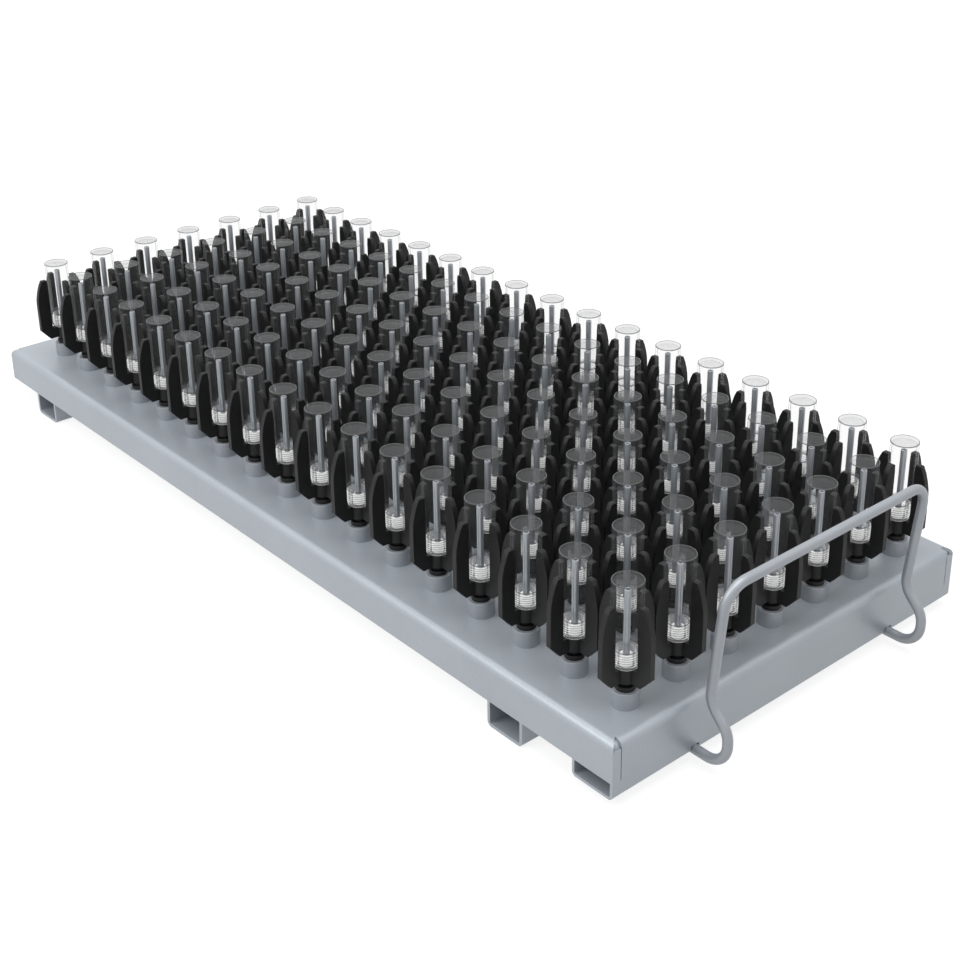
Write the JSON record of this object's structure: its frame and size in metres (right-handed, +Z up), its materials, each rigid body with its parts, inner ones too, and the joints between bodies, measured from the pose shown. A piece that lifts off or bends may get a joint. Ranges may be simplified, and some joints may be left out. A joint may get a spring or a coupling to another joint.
{
  "type": "vial rack",
  "caption": "Steel rack for rinsing small vials: finned holders on round bosses, each with an upturned glass vial over a nozzle, two cross channels as feet and a bent rod handle.",
  "frame": {"origin": "on the floor, under the middle of the whole rack with its handle", "axes": "+X along the deck towards the handle, +Y across it, +Z up"},
  "size_m": [0.5986, 0.25, 0.0995],
  "materials": {
    "sheet_steel": "satin folded stainless sheet",
    "turned_steel": "fine turned stainless",
    "nozzle_steel": "drawn stainless tube",
    "rod_steel": "smooth drawn stainless rod",
    "black_plastic": "moulded, faintly glossy",
    "white_plastic": "turned, satin white",
    "clear_glass": "clear tubular glass"
  },
  "bodies": {
    "root": {"deck": "sheet_steel", "base_plate": "sheet_steel", "cross_channel_left": "sheet_steel", "cross_channel_right": "sheet_steel", "inlet_socket": "turned_steel", "handle": "rod_steel", "bosses_row_1": "turned_steel", "nozzles_row_1": "nozzle_steel", "sleeves_row_1": "white_plastic", "holders_row_1": "black_plastic", "vials_row_1": "clear_glass", "bosses_row_2": "turned_steel", "nozzles_row_2": "nozzle_steel", "sleeves_row_2": "white_plastic", "holders_row_2": "black_plastic", "vials_row_2": "clear_glass", "bosses_row_3": "turned_steel", "nozzles_row_3": "nozzle_steel", "sleeves_row_3": "white_plastic", "holders_row_3": "black_plastic", "vials_row_3": "clear_glass", "bosses_row_4": "turned_steel", "nozzles_row_4": "nozzle_steel", "sleeves_row_4": "white_plastic", "holders_row_4": "black_plastic", "vials_row_4": "clear_glass", "bosses_row_5": "turned_steel", "nozzles_row_5": "nozzle_steel", "sleeves_row_5": "white_plastic", "holders_row_5": "black_plastic", "vials_row_5": "clear_glass", "bosses_row_6": "turned_steel", "nozzles_row_6": "nozzle_steel", "sleeves_row_6": "white_plastic", "holders_row_6": "black_plastic", "vials_row_6": "clear_glass", "bosses_row_7": "turned_steel", "nozzles_row_7": "nozzle_steel", "sleeves_row_7": "white_plastic", "holders_row_7": "black_plastic", "vials_row_7": "clear_glass"}
  },
  "joints": []
}
